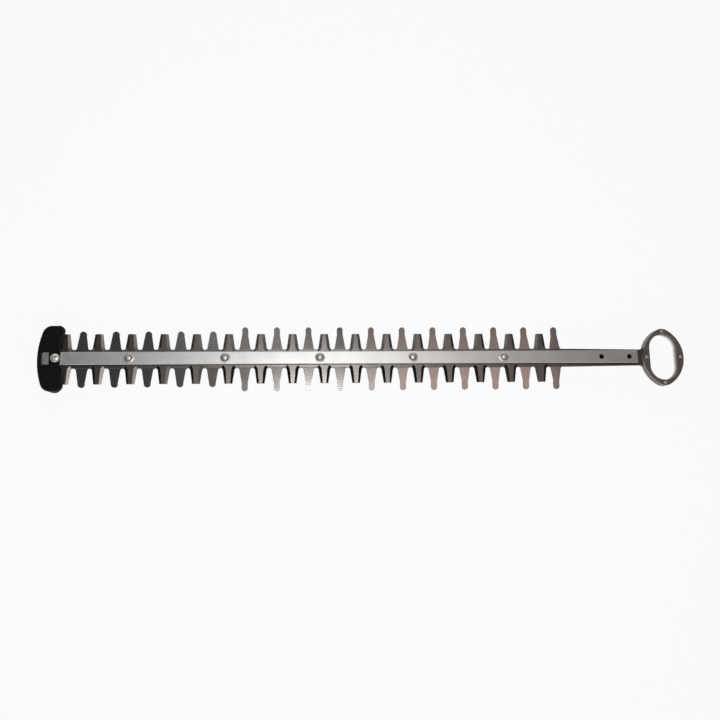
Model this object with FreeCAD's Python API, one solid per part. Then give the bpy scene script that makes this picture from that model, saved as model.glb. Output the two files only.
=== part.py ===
"""Double-sided hedge trimmer cutter bar: guide bar, two toothed blades, yoke plates and tip guard.

Millimetres. The origin is midway between the two gearbox holes on the bar's top face.
+X runs to the drive end and +Z is up out of the bar.
"""
import FreeCAD
import Part
import math
import os

V = FreeCAD.Vector
UP = V(0, 0, 1)
OVER = 1.0
DOME_SWEEP = math.radians(85)

# Blades
PITCH = 35.0
TEETH = 16
SHORT_TEETH = 5
FIRST_ROUND_X = -592.5
STROKE = 8.0
STROKE_SPARE = 0.3
BLADE_T = 2.5
RUN_GAP = 0.15
SPINE_HALF = 10.0
SHANK_HALF = 9.0
TAPER_START_X = -52.0
TAPER_STOP = 4.8
FORK_L = 6.0

# Teeth: half-width near the root, half-width at the neck, straight finger, reach from the blade's axis
SQUARE_TOOTH = {"root": 6.35, "neck": 4.2, "finger": 0.0, "reach": 27.5, "round": False}
LONG_TOOTH = {"root": 5.7, "neck": 3.25, "finger": 5.35, "reach": 35.6, "round": True}
SHORT_TOOTH = {"root": 5.9, "neck": 3.5, "finger": 0.0, "reach": 30.9, "round": True}
ROOT_ABOVE_SPINE = 3.1
GULLET_R = 3.0

# Ground cutting bevels
BEVEL_W = 3.4
BEVEL_FLARE = 1.2
BEVEL_LAND = 0.4
BEVEL_TURN = 52.0
BEVEL_STOP = 0.6

# Guide bar and its tongue
BAR_W = 14.0
BAR_T = 5.0
BAR_EDGE = 0.5
BAR_RAMP_L = 2.8
BAR_RAMP_H = 1.3
TONGUE_T = 3.0
TONGUE_L = 20.0
TONGUE_CORNER_R = 3.0

# Gearbox holes in the bar, and the slots in the upper blade that clear their bolts' ends
GEARBOX_SPACING = 32.5
GEARBOX_HOLE_D = 5.5
GEARBOX_CLEAR = 1.1

# Blade bolts, collars, washers and nuts
BOLTS = 5
BOLT_FIRST_X = -541.0
BOLT_SPACING = 103.0
BOLT_D = 6.0
BOLT_CHAMFER = 0.7
NECK_H = 2.0
HOLE_CLEAR = 0.2
FLANGE_D = 11.0
FLANGE_EDGE = 0.5
FLANGE_H = 1.1
DOME_D = 7.8
DOME_SIDE = 0.4
DOME_H = 1.9
COLLAR_D = 9.0
SLOT_CLEAR = 0.2
WASHER_D = 15.0
WASHER_T = 1.2
NUT_AF = 10.0
NUT_H = 5.0
NUT_CHAMFER = 0.5
NUT_CROWN_H = 1.4
NUT_CROWN_IN = 0.5

# Yoke at the drive end
YOKE_X = 58.2
YOKE_HALF_X = 23.9
YOKE_HALF_Y = 32.8
YOKE_END_R = 12.0
YOKE_SLOT_W = 32.0
YOKE_SLOT_L = 52.4
YOKE_T = 2.0
YOKE_EDGE = 0.4
YOKE_JOIN_R = 6.0
RIVET_D = 2.8
RIVET_HEAD_D = 3.6
RIVET_HEAD_H = 0.5
RIVET_SINK = 0.8

# Tip screw and its nut
TIP_SCREW_X = -617.5
TIP_SCREW_D = 5.0
TIP_CHAMFER = 0.5
TIP_HEAD_D = 9.6
TIP_HEAD_SIDE = 1.0
TIP_HEAD_DOME = 2.3
CROSS_L = 5.2
CROSS_W = 1.2
CROSS_DEEP = 1.8
TIP_NUT_AF = 8.0
TIP_NUT_H = 4.0
NUT_SEAT_T = 2.5
NUT_SUNK = 0.1

# Tip guard; plan distances are from the tip screw
GUARD_NOSE = -19.4
GUARD_NOSE_R = 90.0
GUARD_FRONT_R = 10.5
GUARD_REAR = 2.4
GUARD_REAR_R = 7.0
GUARD_SIDE = 0.2
GUARD_HEEL = 2.9
GUARD_HEEL_HALF = 7.0
GUARD_LIP = 8.2
GUARD_LIP_R = 6.0
GUARD_SIDE_CLEAR = 0.1
GUARD_ROUND = 2.0
GUARD_ROOF_T = 4.0
GUARD_TAB_L = 1.0
GUARD_TAB_HALF = 6.6
GUARD_TAB_GAP = 0.2
CAVITY_CLEAR = 0.8
CAVITY_SIDE_CLEAR = 1.7
FLOOR_CLEAR = 0.6
RIB_T = 2.0
RIB_H = 2.2
RIB_GAP = 0.1
WINDOW_NEAR = -6.7
WINDOW_FAR = -14.8
WINDOW_HALF = 6.9
POCKET_R = 1.5
POCKETS = [(-15.0, -0.3, 8.5, 17.5), (-12.0, -0.3, 19.5, 28.0)]

# Levels and places that follow from the sizes above
BAR_UNDER = -BAR_T
TONGUE_TOP = BAR_UNDER + TONGUE_T
UPPER_TOP = BAR_UNDER - RUN_GAP
UPPER_UNDER = UPPER_TOP - BLADE_T
LOWER_TOP = UPPER_UNDER - RUN_GAP
LOWER_UNDER = LOWER_TOP - BLADE_T
WASHER_TOP = LOWER_UNDER - RUN_GAP
NUT_TOP = WASHER_TOP - WASHER_T
GUARD_TOP = TONGUE_TOP + GUARD_ROOF_T
GUARD_FLOOR = LOWER_UNDER - FLOOR_CLEAR
TIP_NUT_TOP = GUARD_FLOOR - NUT_SEAT_T
GUARD_BOTTOM = TIP_NUT_TOP - TIP_NUT_H - NUT_SUNK
GUARD_HALF = LONG_TOOTH["reach"] + GUARD_SIDE_CLEAR
FIRST_SQUARE_X = FIRST_ROUND_X - PITCH / 2
TRAVEL = STROKE + STROKE_SPARE
YOKE_LEFT_X = YOKE_X - YOKE_HALF_X
BAR_REAR_X = YOKE_LEFT_X - TRAVEL
BAR_TIP_X = TIP_SCREW_X + GUARD_HEEL + GUARD_TAB_L + GUARD_TAB_GAP
TONGUE_TIP_X = BAR_TIP_X - TONGUE_L
TAPER_END_X = YOKE_LEFT_X - TAPER_STOP
BLADE_TIP_X = TIP_SCREW_X - FORK_L
SLOT_W = COLLAR_D + SLOT_CLEAR
BOLT_HOLE_D = BOLT_D + HOLE_CLEAR
TIP_HOLE_D = TIP_SCREW_D + HOLE_CLEAR
BOLT_X = [BOLT_FIRST_X + BOLT_SPACING * i for i in range(BOLTS)]
GEARBOX_X = [-GEARBOX_SPACING / 2, GEARBOX_SPACING / 2]
YOKE_BAND_X = (YOKE_HALF_X + YOKE_SLOT_W / 2) / 2
YOKE_BAND_Y = (YOKE_HALF_Y + YOKE_SLOT_L / 2) / 2
RIVET_PLACES = [(YOKE_X - YOKE_BAND_X, 0), (YOKE_X + YOKE_BAND_X, 0),
                (YOKE_X, YOKE_BAND_Y), (YOKE_X, -YOKE_BAND_Y)]


def line(a, b):
    return Part.makeLine(V(a[0], a[1], 0), V(b[0], b[1], 0))


def arc(a, mid, b):
    return Part.Arc(V(a[0], a[1], 0), V(mid[0], mid[1], 0), V(b[0], b[1], 0)).toShape()


def plate(edges, low, high):
    """Flat piece with the closed outline edges, between two levels."""
    face = Part.Face(Part.Wire(Part.__sortEdges__(edges)))
    face.translate(V(0, 0, low))
    return face.extrude(V(0, 0, high - low))


def box(x0, x1, y0, y1, z0, z1):
    return Part.makeBox(x1 - x0, y1 - y0, z1 - z0, V(x0, y0, z0))


def rod(x, y, low, high, diameter):
    return Part.makeCylinder(diameter / 2, high - low, V(x, y, low), UP)


def tube(x, low, high, outer, inner):
    return rod(x, 0, low, high, outer).cut(rod(x, 0, low - OVER, high + OVER, inner))


def turned(x, y, points, crown=None):
    """Solid of revolution about a vertical axis, from (radius, height) points that start on the axis.
    crown is the level that a dome on the last point rises to, with a small flat in its middle."""
    places = [V(x + r, y, z) for r, z in points]
    edges = [Part.makeLine(a, b) for a, b in zip(places, places[1:])]
    if crown is not None:
        rim = places[-1]
        ellipse = Part.Ellipse(rim, V(x, y, crown), V(x, y, rim.z))
        edges.append(Part.ArcOfEllipse(ellipse, 0, DOME_SWEEP).toShape())
        flat = ellipse.value(DOME_SWEEP)
        places.append(V(x, y, flat.z))
        edges.append(Part.makeLine(flat, places[-1]))
    edges.append(Part.makeLine(places[-1], places[0]))
    return Part.Face(Part.Wire(Part.__sortEdges__(edges))).revolve(V(x, y, 0), UP, 360)


def hexagon(x, low, high, across_flats):
    radius = across_flats / math.sqrt(3)
    angles = [math.radians(60 * i) for i in range(6)]
    ring = [V(x + radius * math.cos(a), radius * math.sin(a), low) for a in angles]
    return Part.Face(Part.makePolygon(ring + ring[:1])).extrude(V(0, 0, high - low))


def slot(x, low, high, width):
    """Slot along X through a blade, with half-round ends, long enough for the stroke."""
    half = width / 2
    edges = [line((x - TRAVEL, half), (x + TRAVEL, half)), line((x - TRAVEL, -half), (x + TRAVEL, -half)),
             arc((x - TRAVEL, half), (x - TRAVEL - half, 0), (x - TRAVEL, -half)),
             arc((x + TRAVEL, half), (x + TRAVEL + half, 0), (x + TRAVEL, -half))]
    return plate(edges, low - OVER, high + OVER)


def neck_y(tooth):
    """Where a tooth's flank ends, measured from the blade's axis."""
    return tooth["reach"] - tooth["finger"] - (tooth["neck"] if tooth["round"] else 0)


def flank(tooth):
    """Slope and normal of a tooth's right-hand flank, and the gullet arc that joins it to the spine."""
    root_y = SPINE_HALF + ROOT_ABOVE_SPINE
    slope = (tooth["neck"] - tooth["root"]) / (neck_y(tooth) - root_y)
    lean = math.hypot(1, slope)
    normal = (1 / lean, -slope / lean)
    centre_y = SPINE_HALF + GULLET_R
    centre = (tooth["root"] + slope * (centre_y - root_y) + GULLET_R * lean, centre_y)
    half = math.hypot(normal[0], normal[1] + 1)
    meet = (centre[0] - GULLET_R * normal[0], centre_y - GULLET_R * normal[1])
    mid = (centre[0] - GULLET_R * normal[0] / half, centre_y - GULLET_R * (normal[1] + 1) / half)
    return {"slope": slope, "normal": normal, "centre": centre, "meet": meet, "mid": mid}


def tooth_edges(x, side, tooth):
    """Outline of one tooth from gullet to gullet, on the +Y side for side 1 and the -Y side for -1."""
    root = flank(tooth)
    foot = (root["centre"][0], SPINE_HALF)
    neck = (tooth["neck"], neck_y(tooth))
    shoulder = (tooth["neck"], neck_y(tooth) + tooth["finger"])
    half = [foot, root["mid"], root["meet"], neck, shoulder]
    edges = []
    for way in (-1, 1):
        spine, mid, meet, top, end = [(x + way * p[0], side * p[1]) for p in half]
        edges.append(arc(spine, mid, meet))
        edges.append(line(meet, top))
        if tooth["finger"] > 0:
            edges.append(line(top, end))
    left = (x - shoulder[0], side * shoulder[1])
    right = (x + shoulder[0], side * shoulder[1])
    tip = (x, side * tooth["reach"])
    edges.append(arc(left, tip, right) if tooth["round"] else line(left, right))
    return edges


def grinding_wheel(tooth, edge_z, face_z):
    """Wedge that grinds the right-hand flank: along the flank, then part way round the gullet.
    It leaves the flank by BEVEL_FLARE along its run, so the bevel is narrower at the tip."""
    root = flank(tooth)
    nx, ny = root["normal"]
    start_z = edge_z + math.copysign(BEVEL_LAND, face_z - edge_z)
    rise = (face_z - start_z) / BEVEL_W
    high = face_z + rise * BEVEL_LAND
    section = [(OVER, start_z - rise * OVER), (-BEVEL_W - BEVEL_LAND, high), (OVER, high)]
    loop = [V(root["meet"][0] + u * nx, root["meet"][1] + u * ny, z) for u, z in section]
    face = Part.Face(Part.makePolygon(loop + loop[:1]))
    end_y = neck_y(tooth) - BEVEL_STOP if tooth["round"] else neck_y(tooth) + OVER
    run = end_y - root["meet"][1]
    along = face.extrude(V(root["slope"] * run + BEVEL_FLARE * nx, run + BEVEL_FLARE * ny, 0))
    around = face.revolve(V(root["centre"][0], root["centre"][1], 0), UP, BEVEL_TURN)
    return along.fuse(around)


def bevel_cuts(teeth, edge_z, face_z):
    """The four mirrored grinding cuts of every tooth pair."""
    cuts = []
    for x, tooth in teeth:
        right = grinding_wheel(tooth, edge_z, face_z)
        for cut in (right, right.mirror(V(), V(1, 0, 0))):
            cuts.append(cut.translated(V(x, 0, 0)))
            cuts.append(cut.mirror(V(), V(0, 1, 0)).translated(V(x, 0, 0)))
    return cuts


def yoke_oval(low, high):
    """Oval of two wide side arcs, joined at its ends by tangent arcs of YOKE_END_R."""
    end_y = YOKE_HALF_Y - YOKE_END_R
    wide = YOKE_HALF_X - YOKE_END_R
    side_r = (YOKE_HALF_X ** 2 + end_y ** 2 - YOKE_END_R ** 2) / (2 * wide)
    share = YOKE_END_R / (side_r - YOKE_END_R)
    join = ((side_r - YOKE_HALF_X) * share, end_y * (1 + share))
    edges = []
    for way in (1, -1):
        upper = (YOKE_X + way * join[0], join[1])
        lower = (YOKE_X + way * join[0], -join[1])
        edges.append(arc(lower, (YOKE_X + way * YOKE_HALF_X, 0), upper))
        end_right = (YOKE_X + join[0], way * join[1])
        end_left = (YOKE_X - join[0], way * join[1])
        edges.append(arc(end_right, (YOKE_X, way * YOKE_HALF_Y), end_left))
    return plate(edges, low, high)


def yoke_slot(low, high):
    """Slot across the blade that the drive's cam runs in."""
    reach = (YOKE_SLOT_L - YOKE_SLOT_W) / 2
    half = YOKE_SLOT_W / 2
    left = YOKE_X - half
    right = YOKE_X + half
    edges = [arc((left, reach), (YOKE_X, reach + half), (right, reach)),
             arc((left, -reach), (YOKE_X, -reach - half), (right, -reach)),
             line((left, -reach), (left, reach)),
             line((right, -reach), (right, reach))]
    return plate(edges, low - OVER, high + OVER)


def strip(teeth, low, high):
    """Toothed strip with a tapered shank that runs into the yoke's ring."""
    ring_x = YOKE_X - YOKE_BAND_X
    edges = [line((BLADE_TIP_X, -SPINE_HALF), (BLADE_TIP_X, SPINE_HALF)),
             line((ring_x, -SHANK_HALF), (ring_x, SHANK_HALF))]
    for side in (1, -1):
        here = (BLADE_TIP_X, side * SPINE_HALF)
        for x, tooth in teeth:
            reach = flank(tooth)["centre"][0]
            edges.append(line(here, (x - reach, side * SPINE_HALF)))
            edges.extend(tooth_edges(x, side, tooth))
            here = (x + reach, side * SPINE_HALF)
        taper = (TAPER_START_X, side * SPINE_HALF)
        shank = (TAPER_END_X, side * SHANK_HALF)
        edges += [line(here, taper), line(taper, shank), line(shank, (ring_x, side * SHANK_HALF))]
    body = plate(edges, low, high).fuse(yoke_oval(low, high)).removeSplitter()
    upright = [e for e in body.Edges if e.BoundBox.ZLength > BLADE_T / 2]
    joins = [e for e in upright if e.CenterOfMass.x > TAPER_END_X + OVER
             and abs(abs(e.CenterOfMass.y) - SHANK_HALF) < RUN_GAP]
    return body.makeFillet(YOKE_JOIN_R, joins)


def blade(teeth, low, edge_z, face_z, bolt_slots):
    """One blade. edge_z is the level of its cutting edges, on the face that slides on the other blade.
    bolt_slots are the places of the slots that clear the ends of the gearbox bolts."""
    high = low + BLADE_T
    half = SLOT_W / 2
    fork_x = TIP_SCREW_X + TRAVEL
    cuts = [yoke_slot(low, high)]
    cuts += [slot(x, low, high, SLOT_W) for x in BOLT_X]
    cuts += [slot(x, low, high, GEARBOX_HOLE_D + GEARBOX_CLEAR) for x in bolt_slots]
    cuts.append(rod(fork_x, 0, low - OVER, high + OVER, SLOT_W))
    cuts.append(box(BLADE_TIP_X - OVER, fork_x, -half, half, low - OVER, high + OVER))
    body = strip(teeth, low, high).cut(cuts).cut(bevel_cuts(teeth, edge_z, face_z))
    outer_z = face_z + math.copysign(YOKE_T, face_z - edge_z)
    return body.cut([rivet(x, y, edge_z, outer_z) for x, y in RIVET_PLACES])


def yoke_plate(edge_z, low, outer_z):
    """Oval wear plate on a blade's ring, with its outer edges broken. low is its lower level."""
    high = low + YOKE_T
    body = yoke_oval(low, high).cut(yoke_slot(low, high))
    flat = [e for e in body.Edges if e.BoundBox.ZLength < RUN_GAP]
    rims = [e for e in flat if abs(e.CenterOfMass.z - outer_z) < RUN_GAP]
    body = body.makeChamfer(YOKE_EDGE, rims)
    return body.cut([rivet(x, y, edge_z, outer_z) for x, y in RIVET_PLACES])


def rivet(x, y, edge_z, outer_z):
    """Rivet with a flush sunk end at edge_z and a low round head standing on outer_z."""
    way = math.copysign(1, outer_z - edge_z)
    shank = RIVET_D / 2
    head = RIVET_HEAD_D / 2
    sunk = [(0, edge_z), (shank + RIVET_SINK, edge_z), (shank, edge_z + way * RIVET_SINK)]
    return turned(x, y, sunk + [(shank, outer_z), (head, outer_z)], outer_z + way * RIVET_HEAD_H)


def guide_bar():
    half = BAR_W / 2
    body = box(BAR_TIP_X, BAR_REAR_X, -half, half, BAR_UNDER, 0)
    top_edges = [e for e in body.Edges if e.BoundBox.XLength > BAR_W and e.CenterOfMass.z > BAR_UNDER / 2]
    body = body.makeChamfer(BAR_EDGE, top_edges)
    ramp = [V(BAR_TIP_X, -half, -BAR_RAMP_H), V(BAR_TIP_X + BAR_RAMP_L, -half, 0), V(BAR_TIP_X, -half, 0)]
    body = body.cut(Part.Face(Part.makePolygon(ramp + ramp[:1])).extrude(V(0, BAR_W, 0)))
    tongue = box(TONGUE_TIP_X, BAR_TIP_X, -half, half, BAR_UNDER, TONGUE_TOP)
    upright = [e for e in tongue.Edges if e.BoundBox.ZLength > TONGUE_T / 2]
    corners = [e for e in upright if e.CenterOfMass.x < BAR_TIP_X - OVER]
    body = body.fuse(tongue.makeFillet(TONGUE_CORNER_R, corners)).removeSplitter()
    square = BOLT_HOLE_D / 2
    cuts = [rod(x, 0, BAR_UNDER - OVER, OVER, BOLT_HOLE_D) for x in BOLT_X]
    cuts += [box(x - square, x + square, -square, square, -NECK_H - HOLE_CLEAR, OVER) for x in BOLT_X]
    cuts += [rod(x, 0, BAR_UNDER - OVER, OVER, GEARBOX_HOLE_D) for x in GEARBOX_X]
    cuts.append(rod(TIP_SCREW_X, 0, BAR_UNDER - OVER, OVER, TIP_HOLE_D))
    return body.cut(cuts)


def blade_bolt(x):
    """Domed bolt with a thin flange and a square neck that stops it turning in the bar."""
    cap = DOME_D / 2
    shank = BOLT_D / 2
    rim = FLANGE_D / 2
    base = FLANGE_H + DOME_SIDE
    flange = [(0, 0), (rim, 0), (rim, FLANGE_EDGE), (cap, FLANGE_H), (cap, base)]
    head = turned(x, 0, flange, base + DOME_H)
    neck = box(x - shank, x + shank, -shank, shank, -NECK_H, 0)
    stem = turned(x, 0, [(0, 0), (shank, 0), (shank, GUARD_BOTTOM + BOLT_CHAMFER),
                         (shank - BOLT_CHAMFER, GUARD_BOTTOM), (0, GUARD_BOTTOM)])
    return head.fuse([neck, stem]).removeSplitter()


def lock_nut(x):
    """Hexagon nut with a rounded locking crown on its lower end."""
    low = NUT_TOP - NUT_H
    flat = NUT_AF / 2
    corner = NUT_AF / math.sqrt(3)
    crown = flat - NUT_CROWN_IN
    shape = turned(x, 0, [(0, NUT_TOP), (flat, NUT_TOP), (corner, NUT_TOP - NUT_CHAMFER),
                          (corner, low + NUT_CROWN_H + NUT_CHAMFER), (crown, low + NUT_CROWN_H),
                          (crown, low + NUT_CHAMFER), (crown - NUT_CHAMFER, low), (0, low)])
    return hexagon(x, low, NUT_TOP, NUT_AF).common(shape).cut(rod(x, 0, low - OVER, NUT_TOP + OVER, BOLT_D))


def tip_nut():
    low = TIP_NUT_TOP - TIP_NUT_H
    flat = TIP_NUT_AF / 2
    corner = TIP_NUT_AF / math.sqrt(3)
    shape = turned(TIP_SCREW_X, 0, [(0, TIP_NUT_TOP), (flat, TIP_NUT_TOP),
                                    (corner, TIP_NUT_TOP - NUT_CHAMFER), (corner, low + NUT_CHAMFER),
                                    (flat, low), (0, low)])
    nut = hexagon(TIP_SCREW_X, low, TIP_NUT_TOP, TIP_NUT_AF).common(shape)
    return nut.cut(rod(TIP_SCREW_X, 0, low - OVER, TIP_NUT_TOP + OVER, TIP_SCREW_D))


def tip_screw():
    """Pan-head screw with a cross recess."""
    head = TIP_HEAD_D / 2
    shank = TIP_SCREW_D / 2
    side_top = GUARD_TOP + TIP_HEAD_SIDE
    top = side_top + TIP_HEAD_DOME
    low = TIP_NUT_TOP - TIP_NUT_H
    stem = turned(TIP_SCREW_X, 0, [(0, GUARD_TOP), (shank, GUARD_TOP), (shank, low + TIP_CHAMFER),
                                   (shank - TIP_CHAMFER, low), (0, low)])
    pan = turned(TIP_SCREW_X, 0, [(0, GUARD_TOP), (head, GUARD_TOP), (head, side_top)], top)
    body = pan.fuse(stem).removeSplitter()
    long_half = CROSS_L / 2
    short_half = CROSS_W / 2
    floor = top - CROSS_DEEP
    return body.cut([box(TIP_SCREW_X - a, TIP_SCREW_X + a, -b, b, floor, top + OVER)
                     for a, b in ((long_half, short_half), (short_half, long_half))])


def on_arc(centre, radius, a, b):
    """Point of a circle halfway between two of its points."""
    mid = ((a[0] + b[0]) / 2 - centre[0], (a[1] + b[1]) / 2 - centre[1])
    size = math.hypot(mid[0], mid[1])
    return (centre[0] + radius * mid[0] / size, centre[1] + radius * mid[1] / size)


def guard_outline(rear, rear_r, heel):
    """Plan of the guard: a flat nose arc, tangent corner arcs, and rear corners that stand behind heel.

    The rear corners start at least GUARD_SIDE behind the front ones, and a straight rear follows them.
    """
    nose = GUARD_NOSE + GUARD_NOSE_R
    apart = GUARD_NOSE_R - GUARD_FRONT_R
    front_y = GUARD_HALF - GUARD_FRONT_R
    front = (nose - math.sqrt(apart ** 2 - front_y ** 2), front_y)
    front_top = (front[0], GUARD_HALF)
    join = (nose + (front[0] - nose) * GUARD_NOSE_R / apart, front_y * GUARD_NOSE_R / apart)
    back = (max(rear - rear_r, front[0] + GUARD_SIDE), GUARD_HALF - rear_r)
    back_top = (back[0], GUARD_HALF)
    straight = heel == rear
    if straight:
        heel = back[0] + rear_r
    away = (heel - back[0], GUARD_HEEL_HALF - back[1])
    turn = math.atan2(away[1], away[0]) + math.acos(min(1, rear_r / math.hypot(away[0], away[1])))
    leave = (back[0] + rear_r * math.cos(turn), back[1] + rear_r * math.sin(turn))
    heel_end = (heel, GUARD_HEEL_HALF)

    def at(p, side):
        return (TIP_SCREW_X + p[0], side * p[1])

    edges = [arc(at(join, -1), at((GUARD_NOSE, 0), 1), at(join, 1))]
    for side in (1, -1):
        front_mid = on_arc(front, GUARD_FRONT_R, join, front_top)
        back_mid = on_arc(back, rear_r, back_top, leave)
        edges.append(arc(at(join, side), at(front_mid, side), at(front_top, side)))
        edges.append(line(at(front_top, side), at(back_top, side)))
        edges.append(arc(at(back_top, side), at(back_mid, side), at(leave, side)))
    if straight:
        return edges + [line(at(leave, 1), at(leave, -1))]
    edges += [line(at(leave, side), at(heel_end, side)) for side in (1, -1)]
    return edges + [line(at(heel_end, 1), at(heel_end, -1))]


def guard_cavity():
    """Room for the blades' forked ends and first teeth over their stroke, with ribs beside the tongue."""
    rear = BAR_TIP_X + GUARD_REAR
    tooth_x = FIRST_SQUARE_X - flank(SQUARE_TOOTH)["centre"][0] - STROKE - CAVITY_CLEAR
    nose_x = min(TONGUE_TIP_X, BLADE_TIP_X - STROKE) - CAVITY_CLEAR
    wide = SQUARE_TOOTH["reach"] + CAVITY_SIDE_CLEAR
    narrow = SPINE_HALF + CAVITY_SIDE_CLEAR
    room = box(tooth_x, rear, -wide, wide, GUARD_FLOOR, TONGUE_TOP)
    room = room.fuse(box(nose_x, rear, -narrow, narrow, GUARD_FLOOR, TONGUE_TOP)).removeSplitter()
    near = BAR_W / 2 + RIB_GAP
    rib = box(nose_x - OVER, rear, near, near + RIB_T, TONGUE_TOP - RIB_H, TONGUE_TOP + OVER)
    return room.cut([rib, rib.mirror(V(), V(0, 1, 0))])


def guard_pockets():
    """Moulded recesses that thin the guard's underside."""
    pockets = []
    for x0, x1, y0, y1 in POCKETS:
        pocket = box(TIP_SCREW_X + x0, TIP_SCREW_X + x1, y0, y1, GUARD_BOTTOM - OVER, TIP_NUT_TOP)
        upright = [e for e in pocket.Edges if e.BoundBox.ZLength > OVER]
        pocket = pocket.makeFillet(POCKET_R, upright)
        pockets += [pocket, pocket.mirror(V(), V(0, 1, 0))]
    return pockets


def tip_guard():
    """Hollow body with a roof that laps back over the first teeth, and a tab against the bar's tip."""
    body = plate(guard_outline(GUARD_REAR, GUARD_REAR_R, GUARD_REAR), GUARD_BOTTOM, TONGUE_TOP)
    foot = [e for e in body.Edges if abs(e.BoundBox.ZMax - GUARD_BOTTOM) < RUN_GAP]
    body = body.makeFillet(GUARD_ROUND, foot)
    roof = plate(guard_outline(GUARD_LIP, GUARD_LIP_R, GUARD_HEEL), TONGUE_TOP, GUARD_TOP)
    heel_x = TIP_SCREW_X + GUARD_HEEL
    rims = [e for e in roof.Edges if abs(e.BoundBox.ZMin - GUARD_TOP) < RUN_GAP]
    roof = roof.makeFillet(GUARD_ROUND, [e for e in rims if abs(e.CenterOfMass.x - heel_x) > RUN_GAP])
    tab = box(heel_x - OVER, BAR_TIP_X - GUARD_TAB_GAP, -GUARD_TAB_HALF, GUARD_TAB_HALF,
              TONGUE_TOP, GUARD_TOP)
    body = body.fuse([roof, tab]).removeSplitter()
    window = box(TIP_SCREW_X + WINDOW_FAR, TIP_SCREW_X + WINDOW_NEAR, -WINDOW_HALF, WINDOW_HALF,
                 TONGUE_TOP - OVER, GUARD_TOP + OVER)
    hole = rod(TIP_SCREW_X, 0, GUARD_BOTTOM - OVER, GUARD_TOP + OVER, TIP_HOLE_D)
    seat = hexagon(TIP_SCREW_X, GUARD_BOTTOM - OVER, TIP_NUT_TOP, TIP_NUT_AF + HOLE_CLEAR)
    return body.cut([guard_cavity(), window, hole, seat] + guard_pockets())


square_teeth = [(FIRST_SQUARE_X + PITCH * i, SQUARE_TOOTH) for i in range(TEETH)]
round_teeth = [(FIRST_ROUND_X + PITCH * i, SHORT_TOOTH if i < SHORT_TEETH else LONG_TOOTH)
               for i in range(TEETH)]
washers = [tube(x, NUT_TOP, WASHER_TOP, WASHER_D, BOLT_HOLE_D) for x in BOLT_X]
upper_outer = UPPER_TOP + YOKE_T
lower_outer = LOWER_UNDER - YOKE_T

nodes = {
    "guide_bar": guide_bar(),
    "upper_blade": blade(square_teeth, UPPER_UNDER, UPPER_UNDER, UPPER_TOP, GEARBOX_X),
    "lower_blade": blade(round_teeth, LOWER_UNDER, LOWER_TOP, LOWER_UNDER, []),
    "upper_yoke_plate": yoke_plate(UPPER_UNDER, UPPER_TOP, upper_outer),
    "lower_yoke_plate": yoke_plate(LOWER_TOP, lower_outer, lower_outer),
    "upper_yoke_rivets": Part.makeCompound([rivet(x, y, UPPER_UNDER, upper_outer) for x, y in RIVET_PLACES]),
    "lower_yoke_rivets": Part.makeCompound([rivet(x, y, LOWER_TOP, lower_outer) for x, y in RIVET_PLACES]),
    "blade_bolts": Part.makeCompound([blade_bolt(x) for x in BOLT_X]),
    "retaining_washers": Part.makeCompound(washers),
    "lock_nuts": Part.makeCompound([lock_nut(x) for x in BOLT_X]),
    "tip_guard": tip_guard(),
    "tip_screw": tip_screw(),
    "tip_collar": tube(TIP_SCREW_X, GUARD_FLOOR, BAR_UNDER, COLLAR_D, TIP_HOLE_D),
    "tip_nut": tip_nut(),
}
for number, x in enumerate(BOLT_X, 1):
    nodes["guide_collar_%d" % number] = tube(x, WASHER_TOP, BAR_UNDER, COLLAR_D, BOLT_HOLE_D)

os.makedirs("parts", exist_ok=True)
for name, shape in nodes.items():
    shape.exportStep("parts/%s.step" % name)
    print(name, "valid" if shape.isValid() else "NOT VALID", len(shape.Solids), "%.1f mm3" % shape.Volume)
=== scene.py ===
# %% [markdown]
# # Cutter bar of a hedge trimmer
# A bright guide bar carries two toothed blades that slide against each other, with a black moulded
# guard at the tip and an oval yoke at the drive end. The solids come from CAD at their real size, so
# this lesson gives them their finishes, adds the small pieces that CAD leaves out, and lights and
# frames the part as in the photograph. Blender works here in metres, in the same frame as the CAD.

# %% Load the part
import bmesh
import bpy
import math
from mathutils import Euler, Matrix, Vector


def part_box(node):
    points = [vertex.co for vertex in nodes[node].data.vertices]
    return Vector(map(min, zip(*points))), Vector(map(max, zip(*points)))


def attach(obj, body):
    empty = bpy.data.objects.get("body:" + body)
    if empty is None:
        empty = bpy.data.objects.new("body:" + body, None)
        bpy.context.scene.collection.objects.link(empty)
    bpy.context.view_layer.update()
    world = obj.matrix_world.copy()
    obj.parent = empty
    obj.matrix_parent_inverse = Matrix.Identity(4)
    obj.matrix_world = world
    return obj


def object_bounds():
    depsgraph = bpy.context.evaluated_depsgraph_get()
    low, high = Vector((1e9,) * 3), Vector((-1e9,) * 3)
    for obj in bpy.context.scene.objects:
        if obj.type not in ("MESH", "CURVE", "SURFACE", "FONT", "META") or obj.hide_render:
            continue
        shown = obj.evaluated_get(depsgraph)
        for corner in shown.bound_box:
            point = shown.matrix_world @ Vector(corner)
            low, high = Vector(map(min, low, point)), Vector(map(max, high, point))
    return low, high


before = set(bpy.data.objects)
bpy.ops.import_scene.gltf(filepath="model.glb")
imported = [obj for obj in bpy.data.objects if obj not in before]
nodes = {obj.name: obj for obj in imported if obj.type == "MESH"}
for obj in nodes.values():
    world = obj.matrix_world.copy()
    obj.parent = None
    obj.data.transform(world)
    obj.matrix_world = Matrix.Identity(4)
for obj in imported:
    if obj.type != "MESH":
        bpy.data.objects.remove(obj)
cad_low, cad_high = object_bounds()
MM = 0.001
print("nodes", len(nodes), "box in mm", [round(v / MM, 1) for v in cad_high - cad_low])

# %% [markdown]
# ## Camera
# The photograph was taken from above, a little towards the left and the near side. The tooth tips
# and the yoke were matched to their places in the picture, which gave the distance, the turn and the
# focal length. Keeping the lens at a plain 35 mm on a 36 mm sensor keeps the same slight perspective.

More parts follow.
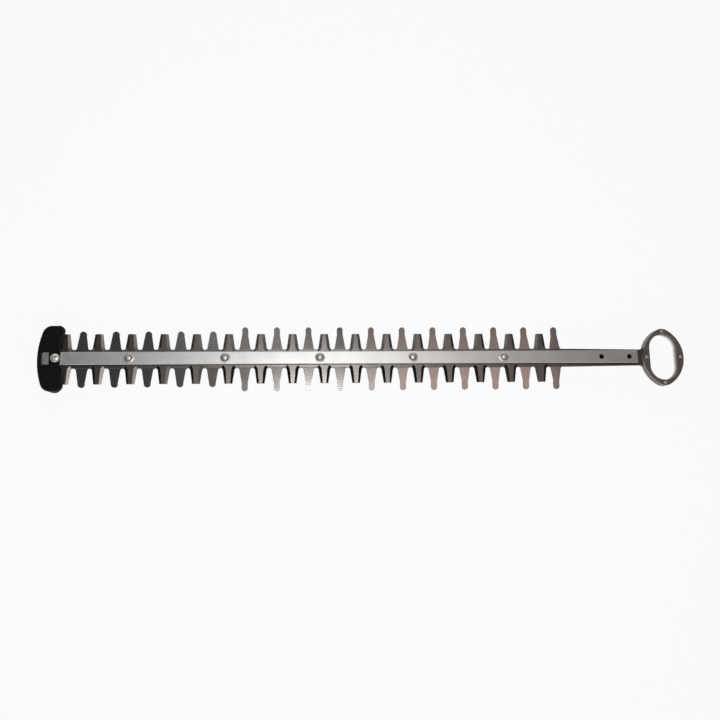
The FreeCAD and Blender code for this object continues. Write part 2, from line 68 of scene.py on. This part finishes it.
# %% Camera at the photograph's view
LENS_MM = 35.0
CAMERA_PLACE = Vector((-0.3468, -0.1265, 0.7609))
CAMERA_PITCH = math.radians(9.198)
CAMERA_YAW = math.radians(-4.206)
CAMERA_ROLL = math.radians(-0.886)

turn = (Euler((0, CAMERA_YAW, 0)).to_matrix() @ Euler((CAMERA_PITCH, 0, 0)).to_matrix()
        @ Euler((0, 0, CAMERA_ROLL)).to_matrix())
bpy.ops.object.select_all(action="DESELECT")
bpy.ops.object.camera_add()
camera = bpy.context.object
camera.name = "photo_camera"
camera.data.lens = LENS_MM
camera.matrix_world = Matrix.Translation(CAMERA_PLACE) @ turn.to_4x4()
bpy.context.scene.camera = camera
bpy.context.scene.view_settings.view_transform = "Standard"
print("camera", [round(v, 3) for v in camera.location])

# %% [markdown]
# ## Colours and nodes
# Colours are easiest to pick as the hex values of a picture editor, but shaders add up light, so one
# function turns them to linear values. One more function adds a shader node: its inputs are given by
# name or number, as a plain value or as another node's output, and its properties as settings. Numbers
# are for nodes with several inputs of one name, such as Math. On a Mix node the share is input 0, two
# plain values are inputs 2 and 3, and two colours are inputs 6 and 7, whose mix is output 2.

# %% Helpers for colours and nodes
def linear(colour):
    """An sRGB hex colour as linear RGBA."""
    parts = [int(colour[i:i + 2], 16) / 255 for i in (1, 3, 5)]
    return [p / 12.92 if p <= 0.04045 else ((p + 0.055) / 1.055) ** 2.4 for p in parts] + [1.0]


def add(tree, kind, inputs=None, **settings):
    """Add one node with its settings, and set or link its inputs."""
    node = tree.nodes.new(kind)
    for name, value in settings.items():
        setattr(node, name, value)
    for key, value in (inputs or {}).items():
        if isinstance(value, bpy.types.NodeSocket):
            tree.links.new(value, node.inputs[key])
        else:
            node.inputs[key].default_value = value
    return node


WHITE = linear("#FFFFFF")
print("white is", WHITE)

# %% [markdown]
# ## Floor, lamps and surroundings
# A polished steel blade looks like what it mirrors, so the studio is built from what the flat faces
# see: a small white lamp near the camera, two warm cards on the drive side, a dim card near the tip,
# and a dim ceiling over grey walls and a white horizon. Two long soft boxes beside the part give the
# even light that plain colours need. The floor is plain white paint. The camera and the metal see most
# of it as a pure white sheet, which lightens the background without any more light on the part and
# leaves it a faint soft shadow. From below the floor is clear, so that the underside of the part can
# be looked at too.

# %% Floor
FLOOR_SIZE = 30.0
FLOOR_COLOUR = "#FAFAFA"
FLOOR_GLOW = 0.9
FLOOR_GAP = 0.2 * MM

floor_z = cad_low.z - FLOOR_GAP
bpy.ops.mesh.primitive_plane_add(size=FLOOR_SIZE, location=(0, 0, floor_z))
floor = bpy.context.object
floor.name = "floor"
floor_paint = bpy.data.materials.new("matt white floor paint")
floor_paint.use_nodes = True
tree = floor_paint.node_tree
tree.nodes.clear()
path = add(tree, "ShaderNodeLightPath").outputs
seen = path["Is Camera Ray"]
for ray in ("Is Glossy Ray", "Is Transmission Ray"):
    seen = add(tree, "ShaderNodeMath", {0: seen, 1: path[ray]}, operation="MAXIMUM").outputs[0]
glow = add(tree, "ShaderNodeMath", {0: seen, 1: FLOOR_GLOW}, operation="MULTIPLY").outputs[0]
matt = add(tree, "ShaderNodeBsdfDiffuse", {"Color": linear(FLOOR_COLOUR)}).outputs[0]
sheet = add(tree, "ShaderNodeEmission", {"Color": WHITE, "Strength": 1.0}).outputs[0]
paint = add(tree, "ShaderNodeMixShader", {0: glow, 1: matt, 2: sheet}).outputs[0]
below = add(tree, "ShaderNodeNewGeometry").outputs["Backfacing"]
clear = add(tree, "ShaderNodeBsdfTransparent").outputs[0]
paint = add(tree, "ShaderNodeMixShader", {0: below, 1: paint, 2: clear}).outputs[0]
add(tree, "ShaderNodeOutputMaterial", {"Surface": paint})
floor.data.materials.append(floor_paint)
print("floor at", round(floor_z / MM, 2), "mm")

# %% A lamp of a given brightness
def soft_lamp(name, place, aim, size, brightness, colour):
    """Rectangular lamp. brightness is how bright a mirror would show it, where 1 is white."""
    bpy.ops.object.light_add(type="AREA", location=place)
    lamp = bpy.context.object
    lamp.name = name
    lamp.rotation_euler = (Vector(aim) - Vector(place)).to_track_quat("-Z", "Y").to_euler()
    lamp.data.shape = "RECTANGLE"
    lamp.data.size, lamp.data.size_y = size
    lamp.data.color = linear(colour)[:3]
    lamp.data.energy = brightness * math.pi * size[0] * size[1]
    print(name, "power", round(lamp.data.energy, 2), "W")


# %% Lamps overhead and beside the part
LAMP_HEIGHT = 0.8
# Name, place along X and Y, size, brightness and colour of each.
OVERHEAD = [("white lamp", (-0.336, -0.08), (0.11, 0.14), 55.0, "#FFFFFF"),
            ("near warm card", (0.0, 0.065), (0.45, 0.11), 0.7, "#FFE2D9"),
            ("far warm card", (0.0, 0.175), (0.45, 0.11), 0.29, "#FFE2D9"),
            ("dim card", (-0.5, 0.25), (0.3, 0.25), 0.19, "#FFFFFF")]
BOX_AWAY = 1.5
BOX_HEIGHT = 0.75
BOX_SIZE = (2.4, 1.2)
BOX_BRIGHTNESS = 0.8

for name, (x, y), size, brightness, colour in OVERHEAD:
    soft_lamp(name, (x, y, LAMP_HEIGHT), (x, y, 0), size, brightness, colour)
middle = (cad_low + cad_high) / 2
for name, side in (("near soft box", -1), ("far soft box", 1)):
    place = (middle.x, BOX_AWAY * side, BOX_HEIGHT)
    soft_lamp(name, place, middle, BOX_SIZE, BOX_BRIGHTNESS, "#FFFFFF")

# %% Surroundings
WALL = "#BCBCBC"
CEILING_LEFT = "#474645"
CEILING_RIGHT = "#625A56"
# Parts of a direction of length 1: along X for left to right, and along Z for height.
LEFT_TO_RIGHT = (-0.2, 0.6)
HORIZON_TO_WALL = (0.1, 0.3)
WALL_TO_CEILING = (0.25, 0.6)

world = bpy.data.worlds.new("studio")
bpy.context.scene.world = world
world.use_nodes = True
tree = world.node_tree
tree.nodes.clear()
way = add(tree, "ShaderNodeTexCoord").outputs["Generated"]
way = add(tree, "ShaderNodeSeparateXYZ", {0: way}).outputs
across = add(tree, "ShaderNodeMapRange", {"Value": way["X"], "From Min": LEFT_TO_RIGHT[0],
                                          "From Max": LEFT_TO_RIGHT[1]}).outputs[0]
ceiling = add(tree, "ShaderNodeMix", {0: across, 6: linear(CEILING_LEFT), 7: linear(CEILING_RIGHT)},
              data_type="RGBA").outputs[2]
sky = WHITE
for (start, end), colour in ((HORIZON_TO_WALL, linear(WALL)), (WALL_TO_CEILING, ceiling)):
    share = add(tree, "ShaderNodeMapRange", {"Value": way["Z"], "From Min": start, "From Max": end},
                interpolation_type="SMOOTHSTEP").outputs[0]
    sky = add(tree, "ShaderNodeMix", {0: share, 6: sky, 7: colour}, data_type="RGBA").outputs[2]
light = add(tree, "ShaderNodeBackground", {"Color": sky, "Strength": 1.0}).outputs[0]
add(tree, "ShaderNodeOutputWorld", {"Surface": light})
print("ceiling", CEILING_LEFT, "to", CEILING_RIGHT)

# %% [markdown]
# ## One colour over another
# What tells one surface of a steel part from the next is often only a colour. A few are real, such as
# stains, but most here are painted light and shade: near-black bevels and walls, dark rings round the
# bolt heads, and paler patches where light falls. Painting such marks by hand on an image would also
# do, but here each is one more colour over the metal, by a share from 0 to 1. The share comes from
# the place on the piece and from its normal there, which belong to the piece and not to the view.

# %% A colour over a finish
def over(metal, share, colour):
    """Lay a colour over a metal's own, as far as the share says."""
    tree = metal.node_tree
    base = tree.nodes["Principled BSDF"].inputs["Base Color"]
    mixed = add(tree, "ShaderNodeMix", {0: share, 6: base.links[0].from_socket, 7: linear(colour)},
                data_type="RGBA")
    tree.links.new(mixed.outputs[2], base)


# %% [markdown]
# ## Steel
# All the metal here is steel, and what tells the pieces apart is how each surface was made: drawn
# through a die, ground flat, stamped or zinc plated. So one function makes them all from the size of
# the lines that the tool left, the colours of the clean face, of those lines and of old oil, and the
# colours painted on the surfaces that slope away, such as ground bevels or the sides of a dome, and on
# the upright walls. Those two are painted shade, set by the normal for the darker surroundings that
# such surfaces mirror, and mostly darker than the face. Object coordinates in millimetres give every
# pattern its size. Real tool lines are some hundredths of a millimetre apart, far finer than a pixel,
# so here they are drawn about ten times as coarse to show.

# %% The face: tool lines and stains
LINE_DETAIL = 3.0
LINE_BUMP = 0.5
STAIN_DETAIL = 4.0
STAIN_RAGGED = 0.6
STAIN_LEVELS = (0.42, 0.72)


def tooled(name, face, lines, stains, line_mm, stain_mm, stain_share, relief_mm):
    """Metal with tool lines of line_mm along X, Y and Z and stains of stain_mm, and its lines' socket."""
    metal = bpy.data.materials.new(name)
    metal.use_nodes = True
    tree = metal.node_tree
    shader = tree.nodes["Principled BSDF"].inputs
    shader["Metallic"].default_value = 1.0
    place = add(tree, "ShaderNodeTexCoord").outputs["Object"]
    along = add(tree, "ShaderNodeVectorMath", {0: place, 1: [v * MM for v in line_mm]},
                operation="DIVIDE").outputs[0]
    line = add(tree, "ShaderNodeTexNoise", {"Vector": along, "Scale": 1.0,
                                            "Detail": LINE_DETAIL}).outputs[0]
    colour = add(tree, "ShaderNodeMix", {0: line, 6: linear(lines), 7: linear(face)}, data_type="RGBA")
    tree.links.new(colour.outputs[2], shader["Base Color"])
    stain = add(tree, "ShaderNodeTexNoise", {"Vector": place, "Scale": 1 / (stain_mm * MM),
                                             "Detail": STAIN_DETAIL,
                                             "Roughness": STAIN_RAGGED}).outputs[0]
    stain = add(tree, "ShaderNodeMapRange", {"Value": stain, "From Min": STAIN_LEVELS[0],
                                             "From Max": STAIN_LEVELS[1],
                                             "To Max": stain_share}).outputs[0]
    over(metal, stain, stains)
    relief = add(tree, "ShaderNodeBump", {"Height": line, "Strength": LINE_BUMP,
                                          "Distance": relief_mm * MM}).outputs[0]
    tree.links.new(relief, shader["Normal"])
    print(name, "with lines of", line_mm, "mm")
    return metal, line


# %% One function for every kind of steel: painted shade on slopes and walls, and gloss
LINE_LEVELS = (0.25, 0.75)
WALL_LEVELS = (0.1, 0.35)


def steel(name, slopes, walls, slope_range, roughness, slope_roughness, **marks):
    """Steel with the tool marks that tooled() gives its face, and painted shade on slopes and walls."""
    metal, line = tooled(name, **marks)
    tree = metal.node_tree
    normal = add(tree, "ShaderNodeNewGeometry").outputs["Normal"]
    level = add(tree, "ShaderNodeSeparateXYZ", {0: normal}).outputs["Z"]
    level = add(tree, "ShaderNodeMath", {0: level}, operation="ABSOLUTE").outputs[0]
    slope = add(tree, "ShaderNodeMapRange", {"Value": level, "From Min": slope_range[0],
                                             "From Max": slope_range[1],
                                             "To Min": 1.0, "To Max": 0.0}).outputs[0]
    over(metal, slope, slopes)
    wall = add(tree, "ShaderNodeMapRange", {"Value": level, "From Min": WALL_LEVELS[0],
                                            "From Max": WALL_LEVELS[1],
                                            "To Min": 1.0, "To Max": 0.0}).outputs[0]
    over(metal, wall, walls)
    rough = add(tree, "ShaderNodeMapRange", {"Value": line, "From Min": LINE_LEVELS[0],
                                             "From Max": LINE_LEVELS[1], "To Min": roughness[0],
                                             "To Max": roughness[1]}).outputs[0]
    rough = add(tree, "ShaderNodeMix", {0: slope, 2: rough, 3: slope_roughness}).outputs[0]
    tree.links.new(rough, tree.nodes["Principled BSDF"].inputs["Roughness"])
    return metal


# %% [markdown]
# ### Bright drawn guide bar
# The bar is drawn through a die, so its faint lines run its whole length, and handling has left soft
# oily patches. It is satin rather than polished: the lamp spreads into one long white glow on it.

# %% Guide bar
# Painted shade: the bar's upright walls, along its sides and round its holes, are near black.
bar_steel = steel(
    "bright drawn steel", face="#DCDCDB", lines="#CECECD", stains="#BAB8B5", slopes="#C4C3C1",
    walls="#3A3938", slope_range=(0.6, 0.98), roughness=(0.43, 0.51), slope_roughness=0.75,
    line_mm=(90.0, 0.7, 0.7), stain_mm=24.0, stain_share=0.35, relief_mm=0.004)

# %% [markdown]
# ### Sawn tip of the bar
# The short ramp at the bar's tip is a sawn face. It is frosted, so it scatters light as paint would
# instead of mirroring the black guard in front of it.

# %% Sawn tip
FACING_TIP = (-0.35, -0.25)

tree = bar_steel.node_tree
normal = add(tree, "ShaderNodeNewGeometry").outputs["Normal"]
facing = add(tree, "ShaderNodeSeparateXYZ", {0: normal}).outputs["X"]
metal_share = add(tree, "ShaderNodeMapRange", {"Value": facing, "From Min": FACING_TIP[0],
                                               "From Max": FACING_TIP[1]}).outputs[0]
tree.links.new(metal_share, tree.nodes["Principled BSDF"].inputs["Metallic"])
print("sawn where the surface faces the tip by", FACING_TIP)

# %% [markdown]
# ### Ground blades
# The blades are spring steel, hardened dark and then ground flat. The upper one is satin from its
# grinding. The lower one is lapped smooth against it, so it mirrors more sharply. The bevels that
# make the cutting edges are ground last, across the teeth. They are painted almost black, and the
# upright walls a darker grey: painted shade for the dark surroundings that these tilted faces mirror.

# %% Upper and lower blade
# Painted shade: near-black bevels and darker grey walls.
BLADE = dict(slopes="#2C2A29", walls="#77736F", slope_range=(0.86, 0.95), slope_roughness=0.75,
             stain_share=0.4)

# Painted shade: the upper blade's face is set much darker than the lower one's, though both are one
# spring steel.
upper_steel = steel(
    "ground spring steel", face="#8E8B89", lines="#7F7C7A", stains="#6E6863",
    roughness=(0.28, 0.34), line_mm=(26.0, 0.6, 0.6), stain_mm=11.0, relief_mm=0.003, **BLADE)
lower_steel = steel(
    "lapped spring steel", face="#C5C2C0", lines="#BAB7B5", stains="#A79F99",
    roughness=(0.172, 0.173), line_mm=(18.0, 0.6, 0.6), stain_mm=9.0, relief_mm=0.00002, **BLADE)

# %% [markdown]
# ### Painted reflections on the bevels
# The bevels are painted with the reflections that they show along the bar. On the far side they are
# painted grey rather than black, and paler grey towards the roots of their teeth. Near the tip the
# bevels that face the drive end are painted bright, and towards the drive end it is the bevels that
# face the tip that are painted paler. Flat faces are left out, because their normal has no part along
# the bar.

# %% Painted grey and painted light on the bevels
# Painted reflections: grey on the far side, paler at the roots, and lighter in the places listed below.
FAR_BEVEL_REFLECTION = "#403D3B"
ROOT_REFLECTION = "#7E7B78"
ROOT_Y = 12.3 * MM
SOFT_EDGE = 0.8 * MM
FACING = (0.2, 0.4)
# Colour, side of the bar along Y, end that the bevels face along X, and where the painted reflection
# is full and where there is none.
BEVEL_REFLECTIONS = [("#DED3CE", -1, 1, -575 * MM, -430 * MM), ("#A8A5A2", 1, 1, -585 * MM, -230 * MM),
        ("#8E8B88", 1, -1, -190 * MM, -520 * MM), ("#6E6B68", -1, -1, -85 * MM, -130 * MM)]

tree = upper_steel.node_tree
place = add(tree, "ShaderNodeTexCoord").outputs["Object"]
place = add(tree, "ShaderNodeSeparateXYZ", {0: place}).outputs
normal = add(tree, "ShaderNodeNewGeometry").outputs["Normal"]
facing = add(tree, "ShaderNodeSeparateXYZ", {0: normal}).outputs["X"]
sideways = add(tree, "ShaderNodeMath", {0: facing}, operation="ABSOLUTE").outputs[0]
bevel = add(tree, "ShaderNodeMapRange", {"Value": sideways, "From Min": FACING[0],
                                         "From Max": FACING[1]}).outputs[0]
painted_grey = add(tree, "ShaderNodeMapRange", {"Value": place["Y"], "From Max": SOFT_EDGE,
                                        "To Max": bevel}).outputs[0]
over(upper_steel, painted_grey, FAR_BEVEL_REFLECTION)
for colour, side, end, full_x, none_x in BEVEL_REFLECTIONS:
    painted_light = add(tree, "ShaderNodeMapRange", {"Value": place["X"], "From Min": full_x, "From Max": none_x,
                                            "To Min": 1.0, "To Max": 0.0}).outputs[0]
    painted_light = add(tree, "ShaderNodeMapRange", {"Value": place["Y"], "From Max": side * SOFT_EDGE,
                                            "To Max": painted_light}).outputs[0]
    painted_light = add(tree, "ShaderNodeMapRange", {"Value": facing, "From Min": end * FACING[0],
                                            "From Max": end * FACING[1], "To Max": painted_light}).outputs[0]
    over(upper_steel, painted_light, colour)
root_reflection = add(tree, "ShaderNodeMapRange", {"Value": place["Y"], "From Min": ROOT_Y - SOFT_EDGE,
                                        "From Max": ROOT_Y + SOFT_EDGE,
                                        "To Min": painted_grey, "To Max": 0.0}).outputs[0]
over(upper_steel, root_reflection, ROOT_REFLECTION)
print("bevels dull, and worn in", len(BEVEL_REFLECTIONS), "places")

# %% [markdown]
# ### Painted shade under the gearbox holes
# The two empty holes look down on the lower blade, whose upper face is painted black there as the
# shade deep in the holes.

# %% Painted shade in the holes
# Painted shade: black on the lower blade's upper face under the holes.
HOLE_SHADE_COLOUR = "#141312"
HOLE_SHADE_HALF = {"X": 32 * MM, "Y": 5 * MM}
HOLE_SHADE_EDGE = 1.5 * MM
UPWARD = 0.5

tree = lower_steel.node_tree
place = add(tree, "ShaderNodeTexCoord").outputs["Object"]
place = add(tree, "ShaderNodeSeparateXYZ", {0: place}).outputs
normal = add(tree, "ShaderNodeNewGeometry").outputs["Normal"]
hole_shade = add(tree, "ShaderNodeSeparateXYZ", {0: normal}).outputs["Z"]
hole_shade = add(tree, "ShaderNodeMath", {0: hole_shade, 1: UPWARD}, operation="GREATER_THAN").outputs[0]
for axis, half in HOLE_SHADE_HALF.items():
    away = add(tree, "ShaderNodeMath", {0: place[axis]}, operation="ABSOLUTE").outputs[0]
    hole_shade = add(tree, "ShaderNodeMapRange", {"Value": away, "From Min": half - HOLE_SHADE_EDGE,
                                              "From Max": half, "To Min": hole_shade,
                                              "To Max": 0.0}).outputs[0]
over(lower_steel, hole_shade, HOLE_SHADE_COLOUR)
print("hole_shade", [round(2 * half / MM) for half in HOLE_SHADE_HALF.values()], "mm")

# %% [markdown]
# ### Pressed yoke plates
# The oval plates are stamped from strip and tumbled, so their marks have no direction. Grease from
# the drive darkens them.

# %% Yoke plates
# Painted shade: dark chamfers and darker grey walls.
yoke_steel = steel(
    "stamped steel", face="#BAB4AE", lines="#A59F99", stains="#857D77", slopes="#544F4C",
    walls="#8C8783", slope_range=(0.6, 0.98), roughness=(0.3, 0.42), slope_roughness=0.4,
    line_mm=(1.2, 1.2, 1.2), stain_mm=7.0, stain_share=0.5, relief_mm=0.02)

# %% [markdown]
# ### Painted light and shade on the ring's walls
# The eccentric cam runs against the inside of the ring, through both blades and both plates. That
# inner wall is painted bright, painted light over the polish that the cam leaves, and darker near the
# top as painted shade. The outer wall of the ring is painted an even mid-grey for the light that falls
# on it. An oval between the slot and the rim tells the inner wall from the outer one. The outside of the
# ring is a dull
# grey punched edge. An oval between the slot and the rim tells the inner wall from the outer one.

# %% Painted light and shade on the slot and rim
# Painted light on the slot's wall, painted shade near its top, and an even painted grey on the rim.
SLOT_COLOUR = "#D6D3CF"
SLOT_TOP_SHADE = "#5A5754"
SLOT_SHADE_Z = (-9.0 * MM, -5.2 * MM)
RIM_COLOUR = "#8E8985"
SLOT_SHARE = 0.82
RIM_SPARE = 0.02

yoke_low, yoke_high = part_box("upper_yoke_plate")
yoke_middle = (yoke_low + yoke_high) / 2
yoke_half = (yoke_high - yoke_low) / 2 * SLOT_SHARE
for metal in (upper_steel, lower_steel, yoke_steel):
    tree = metal.node_tree
    place = add(tree, "ShaderNodeTexCoord").outputs["Object"]
    oval = add(tree, "ShaderNodeVectorMath", {0: place, 1: yoke_middle}, operation="SUBTRACT").outputs[0]
    oval = add(tree, "ShaderNodeVectorMath", {0: oval, 1: (yoke_half.x, yoke_half.y, 1.0)},
               operation="DIVIDE").outputs[0]
    reach = add(tree, "ShaderNodeVectorMath", {0: oval}, operation="LENGTH").outputs["Value"]
    inside = add(tree, "ShaderNodeMath", {0: reach, 1: 1.0}, operation="LESS_THAN").outputs[0]
    ring = add(tree, "ShaderNodeMath", {0: reach, 1: 1 / SLOT_SHARE + RIM_SPARE},
               operation="LESS_THAN").outputs[0]
    height = add(tree, "ShaderNodeSeparateXYZ", {0: place}).outputs["Z"]
    slot_top_shade = add(tree, "ShaderNodeMapRange", {"Value": height, "From Min": SLOT_SHADE_Z[0],
                                              "From Max": SLOT_SHADE_Z[1], "To Max": inside}).outputs[0]
    normal = add(tree, "ShaderNodeNewGeometry").outputs["Normal"]
    level = add(tree, "ShaderNodeSeparateXYZ", {0: normal}).outputs["Z"]
    level = add(tree, "ShaderNodeMath", {0: level}, operation="ABSOLUTE").outputs[0]
    for colour, where in ((RIM_COLOUR, ring), (SLOT_COLOUR, inside), (SLOT_TOP_SHADE, slot_top_shade)):
        share = add(tree, "ShaderNodeMapRange", {"Value": level, "From Min": WALL_LEVELS[0],
                                                 "From Max": WALL_LEVELS[1], "To Min": where,
                                                 "To Max": 0.0}).outputs[0]
        over(metal, share, colour)
print("oval of", [round(2 * v / MM, 1) for v in yoke_half.xy], "mm round the slot")

# %% [markdown]
# ### Zinc plated fasteners
# Bolts, washers, nuts and rivets are plated with zinc. The sides of their heads are painted darker
# than the crowns, as painted shade. The pan-head screw at the tip is rubbed by twigs until its zinc
# shines like new. It is smoother than the others, so the lamps show on it as clear bright patches, and
# the walls of its cross recess are painted nearly as pale as its face, as painted light.

# %% Fasteners
ZINC = dict(slope_range=(0.5, 0.93), line_mm=(0.9, 0.9, 0.9), stain_mm=3.0, relief_mm=0.004)

# Painted shade: darker sides and walls on the heads.
plated = steel(
    "zinc plated steel", face="#DAD9D6", lines="#CCCBC8", stains="#A8A49E", slopes="#7E7C79",
    walls="#6E6B68", roughness=(0.46, 0.56), slope_roughness=0.4, stain_share=0.4, **ZINC)
# Painted light: the walls of the cross recess are nearly as pale as the face.
bright_zinc = steel(
    "polished zinc plate", face="#E6E5E2", lines="#DAD9D6", stains="#BDBAB5", slopes="#A8A7A4",
    walls="#DAD9D6", roughness=(0.34, 0.4), slope_roughness=0.38, stain_share=0.3, **ZINC)

# %% [markdown]
# ### Painted shade and light round the bolt heads
# A dark ring is painted round the foot of each bolt's dome as painted shade, and the flange under it
# is painted pale, nearly as bright as the bar, as painted light. The bolts stand in a row at even
# steps, so one ping-pong along X gives the distance to the nearest of them.

# %% Places of the bolts
collars = [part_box(name) for name in sorted(nodes) if name.startswith("guide_collar_")]
bolt_places = [(low.x + high.x) / 2 for low, high in collars]
bolt_step = bolt_places[1] - bolt_places[0]
print("bolts every", round(bolt_step / MM, 1), "mm")

# %% Painted shade and light rings round the heads
# Painted shade at the foot of each dome and painted light on the flange.
DOME_FOOT_SHADE = "#72706D"
DOME_SHADE_R = 3.2 * MM
DOME_SHADE_HALF = (0.3 * MM, 0.9 * MM)
FLANGE_LIGHT = "#CFCECC"
FLANGE_LIGHT_R = (4.2 * MM, 4.6 * MM)
FLANGE_R = 6.0 * MM
HEAD_Z = 0.3 * MM

tree = plated.node_tree
place = add(tree, "ShaderNodeTexCoord").outputs["Object"]
place = add(tree, "ShaderNodeSeparateXYZ", {0: place}).outputs
along = add(tree, "ShaderNodeMath", {0: place["X"], 1: bolt_places[0]}, operation="SUBTRACT").outputs[0]
along = add(tree, "ShaderNodeMath", {0: along, 1: bolt_step / 2}, operation="PINGPONG").outputs[0]
away = add(tree, "ShaderNodeCombineXYZ", {0: along, 1: place["Y"]}).outputs[0]
away = add(tree, "ShaderNodeVectorMath", {0: away}, operation="LENGTH").outputs["Value"]
head = add(tree, "ShaderNodeMath", {0: place["Z"], 1: HEAD_Z}, operation="GREATER_THAN").outputs[0]
flange_light = add(tree, "ShaderNodeMapRange", {"Value": away, "From Min": FLANGE_LIGHT_R[0], "From Max": FLANGE_LIGHT_R[1],
                                         "To Max": head}).outputs[0]
close = add(tree, "ShaderNodeMath", {0: away, 1: FLANGE_R}, operation="LESS_THAN").outputs[0]
flange_light = add(tree, "ShaderNodeMath", {0: flange_light, 1: close}, operation="MULTIPLY").outputs[0]
over(plated, flange_light, FLANGE_LIGHT)
dome_shade = add(tree, "ShaderNodeMath", {0: away, 1: DOME_SHADE_R}, operation="SUBTRACT").outputs[0]
dome_shade = add(tree, "ShaderNodeMath", {0: dome_shade}, operation="ABSOLUTE").outputs[0]
dome_shade = add(tree, "ShaderNodeMapRange", {"Value": dome_shade, "From Min": DOME_SHADE_HALF[0], "From Max": DOME_SHADE_HALF[1],
                                       "To Min": head, "To Max": 0.0}).outputs[0]
over(plated, dome_shade, DOME_FOOT_SHADE)
print("oil rings", round(2 * DOME_SHADE_R / MM, 1), "mm across")

# %% [markdown]
# ### Moulded tip guard
# The guard is black nylon from a spark-eroded mould. That texture is finer than a pixel, so it is
# drawn at half a millimetre to show. Hedge stems leave pale scuffs along its travel.

# %% Black nylon and its scuffs
NYLON_COLOUR = "#080808"
NYLON_IOR = 1.53
NYLON_GLOSS = 0.15
SCUFF_COLOUR = "#222222"
SCUFF_MM = (14.0, 0.5, 0.5)
SCUFF_DETAIL = 3.0
SCUFF_LEVELS = (0.62, 0.8)
SCUFF_SHARE = 0.5

plastic = bpy.data.materials.new("moulded black nylon")
plastic.use_nodes = True
tree = plastic.node_tree
shader = tree.nodes["Principled BSDF"].inputs
shader["IOR"].default_value = NYLON_IOR
shader["Specular IOR Level"].default_value = NYLON_GLOSS
place = add(tree, "ShaderNodeTexCoord").outputs["Object"]
along = add(tree, "ShaderNodeVectorMath", {0: place, 1: [v * MM for v in SCUFF_MM]},
            operation="DIVIDE").outputs[0]
scuff = add(tree, "ShaderNodeTexNoise", {"Vector": along, "Scale": 1.0,
                                         "Detail": SCUFF_DETAIL}).outputs[0]
scuff = add(tree, "ShaderNodeMapRange", {"Value": scuff, "From Min": SCUFF_LEVELS[0],
                                         "From Max": SCUFF_LEVELS[1],
                                         "To Max": SCUFF_SHARE}).outputs[0]
colour = add(tree, "ShaderNodeMix", {0: scuff, 6: linear(NYLON_COLOUR), 7: linear(SCUFF_COLOUR)},
             data_type="RGBA").outputs[2]
tree.links.new(colour, shader["Base Color"])
print("scuffs of", SCUFF_MM, "mm")

# %% Grain of the mould
GRAIN_MM = 0.5
GRAIN_DETAIL = 2.0
GRAIN_ROUGHNESS = (0.5, 0.66)
GRAIN_BUMP = 0.4
GRAIN_DEPTH = 0.03 * MM

grain = add(tree, "ShaderNodeTexNoise", {"Vector": place, "Scale": 1 / (GRAIN_MM * MM),
                                         "Detail": GRAIN_DETAIL}).outputs[0]
rough = add(tree, "ShaderNodeMapRange", {"Value": grain, "To Min": GRAIN_ROUGHNESS[0],
                                         "To Max": GRAIN_ROUGHNESS[1]}).outputs[0]
tree.links.new(rough, shader["Roughness"])
relief = add(tree, "ShaderNodeBump", {"Height": grain, "Strength": GRAIN_BUMP,
                                      "Distance": GRAIN_DEPTH}).outputs[0]
tree.links.new(relief, shader["Normal"])
print("guard grain", GRAIN_MM, "mm")

# %% [markdown]
# ## Finishes on their solids
# A solid from CAD keeps its mesh as it is, and takes its finish through its material slot. The large
# pieces have finishes of their own, and everything else here is a zinc plated fastener.

# %% Give every solid its finish
FINISHES = {"guide_bar": bar_steel, "upper_blade": upper_steel, "lower_blade": lower_steel,
            "upper_yoke_plate": yoke_steel, "lower_yoke_plate": yoke_steel, "tip_guard": plastic,
            "tip_screw": bright_zinc}

for name, node in nodes.items():
    node.material_slots[0].material = FINISHES.get(name, plated)
print("finished", len(nodes), "solids")

# %% [markdown]
# ## Locking rings of the nuts
# Each nut under the blades locks by a nylon ring pressed into its crown, which stands a little proud
# and grips the bolt. A curve with a thick bevel could make such a ring, but a cylinder whose two ends
# are inset and bridged gives it flat faces and a true bore. One is modelled and then copied to every
# bolt, at the middle of the collar that the same bolt carries.

# %% Model one ring
RING_SIDES = 48
RING_OUTER = 3.9 * MM
RING_BORE = 3.05 * MM
RING_SUNK = 0.05 * MM
RING_PROUD = 0.2 * MM
RING_EDGE = 0.06 * MM
RING_EDGE_STEPS = 2
END_FACE = 0.9
SMOOTH_BELOW = math.radians(40)

crown_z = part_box("lock_nuts")[0].z
bpy.ops.object.select_all(action="DESELECT")
bpy.ops.mesh.primitive_cylinder_add(
    vertices=RING_SIDES, radius=RING_OUTER, depth=RING_PROUD + RING_SUNK,
    location=(bolt_places[0], 0, crown_z + (RING_SUNK - RING_PROUD) / 2))
ring = bpy.context.object
bpy.ops.object.mode_set(mode="EDIT")
bpy.ops.mesh.select_mode(type="FACE")
bpy.ops.mesh.select_all(action="DESELECT")
shape = bmesh.from_edit_mesh(ring.data)
for face in shape.faces:
    face.select_set(abs(face.normal.z) > END_FACE)
bmesh.update_edit_mesh(ring.data)
bpy.ops.mesh.inset(thickness=RING_OUTER - RING_BORE, use_individual=True)
bpy.ops.mesh.bridge_edge_loops()
bpy.ops.object.mode_set(mode="OBJECT")
rounded = ring.modifiers.new("rounded edges", "BEVEL")
rounded.width = RING_EDGE
rounded.segments = RING_EDGE_STEPS
bpy.ops.object.modifier_apply(modifier=rounded.name)
bpy.ops.object.shade_smooth_by_angle(angle=SMOOTH_BELOW)
bpy.ops.object.transform_apply(location=True, rotation=True, scale=True)
print("ring of", len(ring.data.polygons), "faces")

# %% Copy it to every bolt
for number, place in enumerate(bolt_places, 1):
    copy = ring.copy()
    copy.data = ring.data.copy()
    copy.data.transform(Matrix.Translation((place - bolt_places[0], 0, 0)))
    copy.name = f"insert_ring_{number}"
    copy.data.materials.append(plastic)
    bpy.context.collection.objects.link(copy)
    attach(copy, "guide")
bpy.data.objects.remove(ring)
print("rings at", [round(place / MM, 1) for place in bolt_places], "mm")
